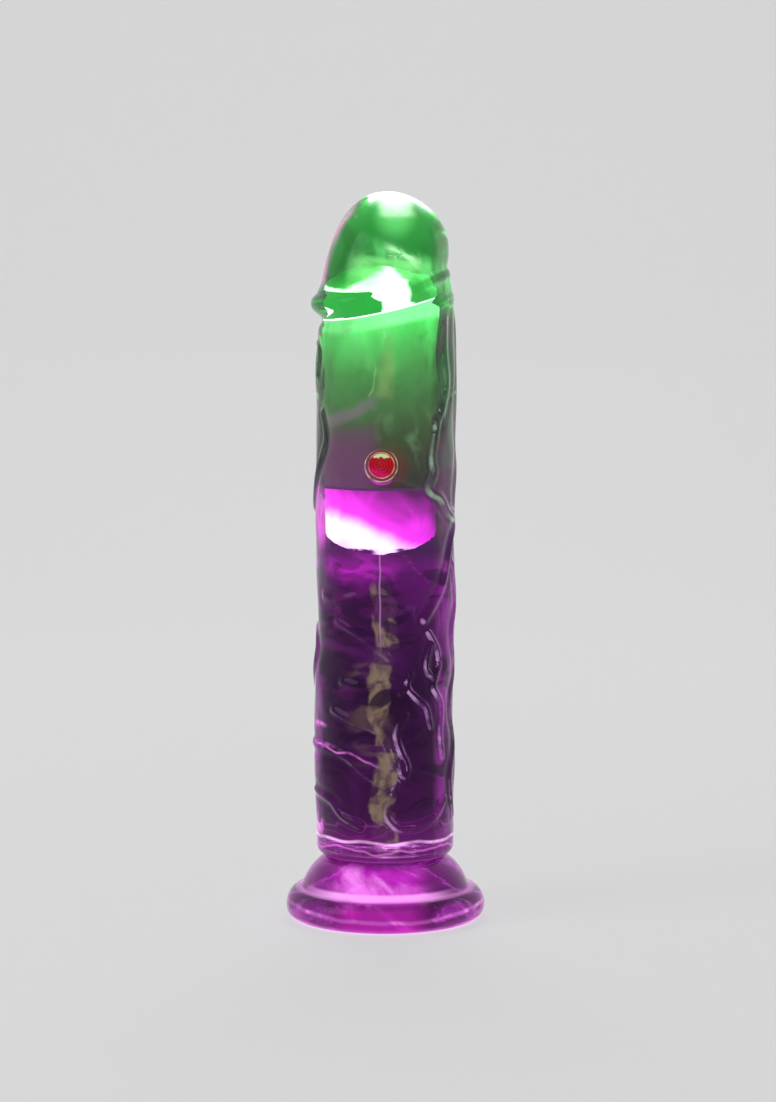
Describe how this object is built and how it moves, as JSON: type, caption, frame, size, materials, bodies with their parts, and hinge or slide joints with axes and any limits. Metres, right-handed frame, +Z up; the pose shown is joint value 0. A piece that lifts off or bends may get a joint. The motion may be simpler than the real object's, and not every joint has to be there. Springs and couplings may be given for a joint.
{
  "type": "light-up suction-base vibrator (adult product)",
  "caption": "Adult product (18+): clear soft body on a suction foot, with a cast-in lit capsule, a push button and a vibration motor.",
  "frame": {"origin": "centre of the suction foot's resting face", "axes": "+Z up the body to the tip, -Y the way the button faces, +Y the way the charging hole faces, +X the way the tip leans"},
  "size_m": [0.064, 0.064, 0.232],
  "materials": {
    "foot_gel": "clear soft moulding, lit magenta",
    "clear_gel": "clear soft moulding, glossy",
    "magenta_shell": "frosted, lit from inside",
    "green_shell": "frosted, lit from inside",
    "clear_green": "clear, lit from inside",
    "clear_plastic": "clear",
    "red_button": "translucent, lit from inside",
    "gasket_rubber": "matte",
    "white_plastic": "matte",
    "black_plastic": "matte",
    "ivory_plastic": "matte",
    "circuit_board": "satin solder mask",
    "tan_ceramic": "matte",
    "plated_steel": "plated",
    "dark_metal": "bare",
    "copper": "wound copper wire",
    "cell_sleeve": "shrink sleeve",
    "red_wire": "wire insulation",
    "blue_wire": "wire insulation",
    "yellow_wire": "wire insulation",
    "red_light": "lit",
    "green_light": "lit",
    "magenta_light": "lit"
  },
  "bodies": {
    "housing": {"suction_foot": "foot_gel", "soft_body": "clear_gel", "capsule_lower_shell": "magenta_shell", "capsule_upper_shell": "green_shell", "capsule_gasket": "gasket_rubber", "top_lens": "clear_green", "chassis": "white_plastic", "control_board": "circuit_board", "control_chip": "black_plastic", "board_capacitors": "tan_ceramic", "board_screws": "plated_steel", "status_leds": "red_light", "switch_body": "black_plastic", "button_bezel": "clear_plastic", "battery_cell": "cell_sleeve", "battery_tab_top": "plated_steel", "battery_tab_bottom": "plated_steel", "battery_leads": "red_wire", "charge_jack": "black_plastic", "motor_boot": "gasket_rubber", "motor_can": "plated_steel", "motor_magnets": "dark_metal", "motor_end_cap": "ivory_plastic", "motor_leads": "blue_wire", "top_led_board": "white_plastic", "green_led": "green_light", "top_reflector": "white_plastic", "top_led_leads": "yellow_wire", "lower_led_board": "white_plastic", "magenta_leds": "magenta_light", "lower_led_leads": "yellow_wire"},
    "button": {"button_cap": "red_button", "switch_plunger": "white_plastic"},
    "motor_rotor": {"motor_shaft": "plated_steel", "motor_armature": "copper", "eccentric_weight": "dark_metal"}
  },
  "joints": [
    {"name": "button_press", "type": "slide", "parent": "housing", "child": "button", "axis": [0, 1, 0], "range_m": [0, 0.0004], "stiffness_N_per_m": 2000, "springref_m": -0.0004},
    {"name": "motor_spin", "type": "hinge", "parent": "housing", "child": "motor_rotor", "pos_m": [-0.0012, 0, 0.1849], "axis": [0, 0, 1], "continuous": true}
  ]
}
